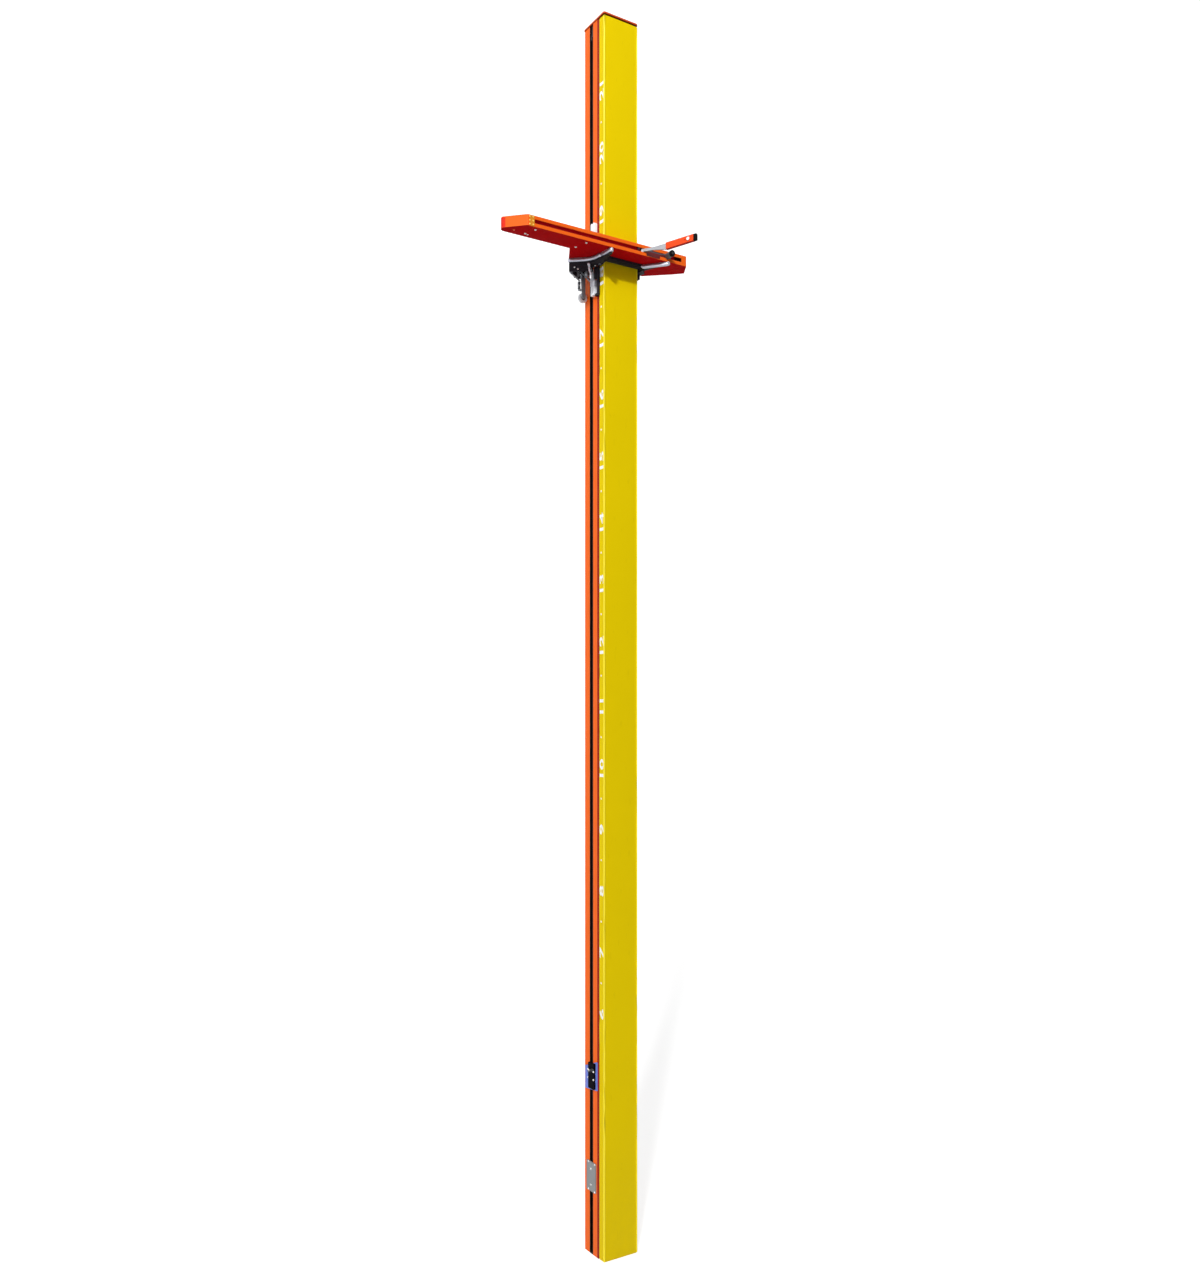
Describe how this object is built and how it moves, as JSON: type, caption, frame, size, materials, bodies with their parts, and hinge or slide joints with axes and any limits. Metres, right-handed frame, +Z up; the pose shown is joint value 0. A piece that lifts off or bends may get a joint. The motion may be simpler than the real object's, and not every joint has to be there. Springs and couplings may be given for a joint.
{
  "type": "pole vault standard",
  "caption": "Tall padded upright with a crank-driven carriage that raises a horizontal arm, on which a clamped slide carries the crossbar peg.",
  "frame": {"origin": "middle of the upright's foot, on the plane it stands on", "axes": "+Z up the upright; -Y is the padded side, where the arm passes; -X is the side with the slot, the crank and the height scale; the arm runs along X"},
  "size_m": [1.0345, 0.6303, 6.182],
  "materials": {
    "orange_enamel": "smooth bright orange enamel",
    "yellow_vinyl": "coated yellow vinyl over foam, slight sheen",
    "dark_red_board": "dark red backing board",
    "fastener_strip": "black hook-and-loop strip",
    "black_rubber": "matt black rubber",
    "zinc_steel": "bright zinc-plated steel",
    "satin_aluminium": "satin aluminium",
    "charcoal_casting": "charcoal paint",
    "black_housing": "satin black",
    "blue_grey_plate": "blue-grey paint",
    "white_nylon": "white nylon",
    "gear_bronze": "machined bronze",
    "orange_grip": "orange grip sleeve"
  },
  "bodies": {
    "upright": {"upright_extrusion": "orange_enamel", "foot_plate": "orange_enamel", "top_cap": "orange_enamel", "upright_pad": "yellow_vinyl", "pad_backing_board": "dark_red_board", "pad_fastener_strip": "fastener_strip", "drive_belt": "black_rubber", "idler_bracket": "zinc_steel", "idler_axle": "zinc_steel", "tension_axle": "zinc_steel", "tension_yoke": "zinc_steel", "tension_plate": "satin_aluminium", "gearbox_frame": "blue_grey_plate", "gearbox_housing": "black_housing", "worm_bearing": "zinc_steel", "drive_bearing_front": "zinc_steel", "drive_bearing_back": "zinc_steel"},
    "idler": {"idler_pulley": "satin_aluminium", "idler_bearing": "zinc_steel"},
    "tension_idler": {"tension_pulley": "satin_aluminium", "tension_bearing": "zinc_steel"},
    "drive": {"drive_shaft": "zinc_steel", "drive_pulley": "satin_aluminium", "worm_wheel": "gear_bronze"},
    "worm": {"worm_shaft": "zinc_steel"},
    "snub_upper": {"snub_roller_upper": "zinc_steel"},
    "snub_lower": {"snub_roller_lower": "zinc_steel"},
    "carriage": {"carriage_plate": "satin_aluminium", "carriage_casting": "charcoal_casting", "belt_clamp_block": "zinc_steel", "belt_clamp_plate": "zinc_steel", "upper_guide_shoe": "white_nylon", "upper_shoe_bracket": "charcoal_casting", "spring_link": "zinc_steel", "arm_spring": "zinc_steel", "rear_roller_axle": "zinc_steel", "side_roller_axle": "zinc_steel", "roller_arm_pin": "zinc_steel", "gusset_plate": "orange_enamel", "arm_beam": "orange_enamel", "arm_nose": "orange_enamel", "arm_tail": "orange_enamel"},
    "rear_guide": {"rear_roller": "white_nylon"},
    "side_guide": {"side_roller": "white_nylon"},
    "roller_arm": {"roller_arm": "zinc_steel"},
    "guide_wheel": {"guide_wheel_tyre": "white_nylon", "guide_wheel_hub": "charcoal_casting"},
    "brake_lever": {"brake_lever": "zinc_steel", "brake_cam_shaft": "zinc_steel"},
    "brake_shoe": {"brake_shoe": "white_nylon", "brake_clevis": "zinc_steel", "brake_link": "zinc_steel"},
    "peg_slide": {"peg_slide": "satin_aluminium", "crossbar_peg": "zinc_steel", "peg_rubber_ring": "black_rubber", "clamp_pivot_pin": "zinc_steel"},
    "clamp_lever": {"clamp_lever": "zinc_steel", "clamp_grip": "orange_grip", "grip_end_plug": "black_rubber", "grip_rivet": "zinc_steel"}
  },
  "joints": [
    {"name": "carriage_lift", "type": "slide", "parent": "upright", "child": "carriage", "axis": [0, 0, 1], "range_m": [-3.75, 0.95]},
    {"name": "idler_spin", "type": "hinge", "parent": "upright", "child": "idler", "pos_m": [-0.0405, 0, 6.11], "axis": [0, 1, 0], "continuous": true},
    {"name": "tension_spin", "type": "hinge", "parent": "upright", "child": "tension_idler", "pos_m": [-0.0405, 0, 0.388], "axis": [0, 1, 0], "continuous": true},
    {"name": "drive_spin", "type": "hinge", "parent": "upright", "child": "drive", "pos_m": [-0.0405, 0, 0.897], "axis": [0, 1, 0], "continuous": true},
    {"name": "worm_spin", "type": "hinge", "parent": "upright", "child": "worm", "pos_m": [-0.0405, -0.027, 0.932], "axis": [1, 0, 0], "continuous": true},
    {"name": "snub_upper_spin", "type": "hinge", "parent": "upright", "child": "snub_upper", "pos_m": [-0.0228, 0, 0.9251], "axis": [0, 1, 0], "continuous": true},
    {"name": "snub_lower_spin", "type": "hinge", "parent": "upright", "child": "snub_lower", "pos_m": [-0.0228, 0, 0.8689], "axis": [0, 1, 0], "continuous": true},
    {"name": "rear_roller_spin", "type": "hinge", "parent": "carriage", "child": "rear_guide", "pos_m": [0, 0.0813, 4.9404], "axis": [1, 0, 0], "continuous": true},
    {"name": "side_roller_spin", "type": "hinge", "parent": "carriage", "child": "side_guide", "pos_m": [0.0913, 0.0405, 4.9404], "axis": [0, 1, 0], "continuous": true},
    {"name": "roller_arm_swing", "type": "hinge", "parent": "carriage", "child": "roller_arm", "pos_m": [-0.0973, 0.0349, 4.923], "axis": [0, 1, 0], "range_deg": [0, 5], "stiffness_Nm_per_rad": 12, "springref_deg": -8.59, "deforming": ["arm_spring"]},
    {"name": "guide_wheel_spin", "type": "hinge", "parent": "roller_arm", "child": "guide_wheel", "pos_m": [-0.0973, 0.046, 4.81], "axis": [0, 1, 0], "continuous": true},
    {"name": "brake_lever_turn", "type": "hinge", "parent": "carriage", "child": "brake_lever", "pos_m": [-0.14411, -0.0926, 4.92], "axis": [-0.6521, -0.7581, 0], "range_deg": [0, 25]},
    {"name": "brake_shoe_slide", "type": "slide", "parent": "carriage", "child": "brake_shoe", "axis": [0, 0, 1], "range_m": [0, 0.0017]},
    {"name": "peg_slide_travel", "type": "slide", "parent": "carriage", "child": "peg_slide", "axis": [1, 0, 0], "range_m": [-0.575, 0.06]},
    {"name": "clamp_lever_swing", "type": "hinge", "parent": "peg_slide", "child": "clamp_lever", "pos_m": [0.069, -0.2413, 4.9864], "axis": [0, 0, -1], "range_deg": [-10, 85]}
  ],
  "couplings": [
    {"joint": "idler_spin", "follows": "carriage_lift", "rad_per_m": 40},
    {"joint": "tension_spin", "follows": "carriage_lift", "rad_per_m": 40},
    {"joint": "drive_spin", "follows": "carriage_lift", "rad_per_m": -48.077},
    {"joint": "worm_spin", "follows": "carriage_lift", "rad_per_m": 1153.8},
    {"joint": "snub_upper_spin", "follows": "carriage_lift", "rad_per_m": 158.73},
    {"joint": "snub_lower_spin", "follows": "carriage_lift", "rad_per_m": 158.73},
    {"joint": "rear_roller_spin", "follows": "carriage_lift", "rad_per_m": 66.667},
    {"joint": "side_roller_spin", "follows": "carriage_lift", "rad_per_m": -55.556},
    {"joint": "guide_wheel_spin", "follows": "carriage_lift", "rad_per_m": 41.667},
    {"joint": "brake_lever_turn", "follows": "brake_shoe_slide", "rad_per_m": 250}
  ]
}
